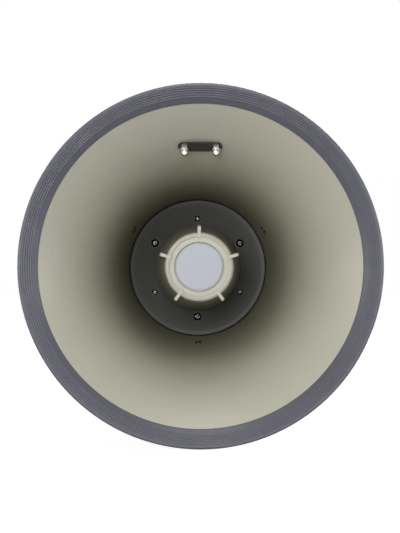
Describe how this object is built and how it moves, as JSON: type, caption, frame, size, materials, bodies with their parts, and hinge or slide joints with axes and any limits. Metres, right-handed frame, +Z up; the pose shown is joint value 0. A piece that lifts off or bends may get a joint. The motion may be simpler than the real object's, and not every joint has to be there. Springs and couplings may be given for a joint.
{
  "type": "megaphone",
  "caption": "Hand-held megaphone: flared cream horn with a soft rim guard, central reflex bullet, dark barrel with pistol grip, trigger, volume knob and rear mouth cup.",
  "frame": {"origin": "centre of the underside of the grip's foot, on the floor that the rim guard also rests on", "axes": "+Z up; +Y along the horn's axis from the mouth towards the rear mouth cup, so the mouth faces -Y; +X to the right as seen from the front"},
  "size_m": [0.28, 0.3944, 0.28],
  "materials": {
    "bell_plastic": "cream injection-moulded plastic, slightly glossy, dull with dust",
    "guard_vinyl": "blue-grey soft vinyl, satin",
    "housing_plastic": "dark grey moulded plastic, fine texture",
    "badge": "pale grey-lavender disc, satin",
    "black_screw": "black oxide steel, worn bright on the edges",
    "bright_fixing": "bright nickel plate",
    "dark_plate": "dark painted steel",
    "zinc_steel": "zinc-plated steel",
    "ferrite": "sintered ferrite, matt black",
    "coil_copper": "lacquered copper wire",
    "cone_film": "thin resin diaphragm",
    "board": "green circuit board",
    "core": "laminated core, varnished",
    "heat_sink": "plain extruded aluminium",
    "capacitor": "sleeved aluminium can",
    "knob_plastic": "black plastic",
    "red_plastic": "red plastic",
    "cell_can": "plain foil-wrapped battery can",
    "pad_rubber": "black rubber"
  },
  "bodies": {
    "body": {"bell": "bell_plastic", "rim_guard": "guard_vinyl", "bullet": "bell_plastic", "badge_disc": "badge", "tone_arm": "bell_plastic", "throat_dish": "housing_plastic", "dish_screws": "black_screw", "clamp_screws": "black_screw", "bell_screws": "bright_fixing", "strap_plate": "dark_plate", "strap_bracket": "zinc_steel", "strap_bolts": "bright_fixing", "cap_nuts": "bright_fixing", "driver_plate": "zinc_steel", "diaphragm": "cone_film", "voice_coil": "coil_copper", "top_plate": "zinc_steel", "magnet": "ferrite", "yoke": "zinc_steel", "driver_cover": "housing_plastic", "neck_housing": "housing_plastic", "barrel": "housing_plastic", "barrel_screws": "black_screw", "amplifier_board": "board", "transformer": "core", "heat_sink": "heat_sink", "capacitors": "capacitor", "panel_board": "board", "volume_pot": "zinc_steel", "siren_switch": "knob_plastic", "mode_switch_case": "zinc_steel", "battery_holder": "knob_plastic", "battery_contacts": "bright_fixing", "hinge_pin": "zinc_steel", "grip_left": "housing_plastic", "grip_right": "housing_plastic", "grip_screws": "black_screw", "grip_mount_screws": "black_screw", "trigger_spring": "zinc_steel", "trigger_switch": "knob_plastic", "foot_pad": "pad_rubber", "battery_1": "cell_can", "battery_2": "cell_can", "battery_3": "cell_can", "battery_4": "cell_can", "battery_5": "cell_can", "battery_6": "cell_can"},
    "volume_knob": {"volume_knob": "knob_plastic", "pot_shaft": "zinc_steel"},
    "siren_button": {"siren_button": "red_plastic"},
    "mode_slider": {"mode_slider": "knob_plastic"},
    "rear_cover": {"rear_cover": "housing_plastic", "mic_capsule": "zinc_steel", "mic_grille": "dark_plate", "mouth_guard": "guard_vinyl"},
    "front_strap_ring": {"front_strap_ring": "zinc_steel"},
    "rear_strap_ring": {"rear_strap_ring": "zinc_steel"},
    "trigger": {"trigger": "red_plastic"}
  },
  "joints": [
    {"name": "volume_turn", "type": "hinge", "parent": "body", "child": "volume_knob", "pos_m": [0, 0.0101, 0.201], "axis": [0, 0, 1], "range_deg": [0, 290]},
    {"name": "siren_press", "type": "slide", "parent": "body", "child": "siren_button", "axis": [0, 0, -1], "range_m": [0, 0.0025], "stiffness_N_per_m": 400, "springref_m": -0.002},
    {"name": "mode_slide", "type": "slide", "parent": "body", "child": "mode_slider", "axis": [0, 1, 0], "range_m": [-0.004, 0.004]},
    {"name": "cover_open", "type": "hinge", "parent": "body", "child": "rear_cover", "pos_m": [0, 0.06225, 0.197], "axis": [1, 0, 0], "range_deg": [0, 100]},
    {"name": "front_ring_swing", "type": "hinge", "parent": "body", "child": "front_strap_ring", "pos_m": [0, -0.20813, 0.23525], "axis": [1, 0, 0], "range_deg": [0, 105]},
    {"name": "rear_ring_swing", "type": "hinge", "parent": "body", "child": "rear_strap_ring", "pos_m": [0, 0.0441, 0.0838], "axis": [1, 0, 0], "range_deg": [-30, 60]},
    {"name": "trigger_squeeze", "type": "slide", "parent": "body", "child": "trigger", "axis": [0, 1, 0], "range_m": [0, 0.0045], "stiffness_N_per_m": 700, "springref_m": -0.004, "deforming": ["trigger_spring"]}
  ]
}
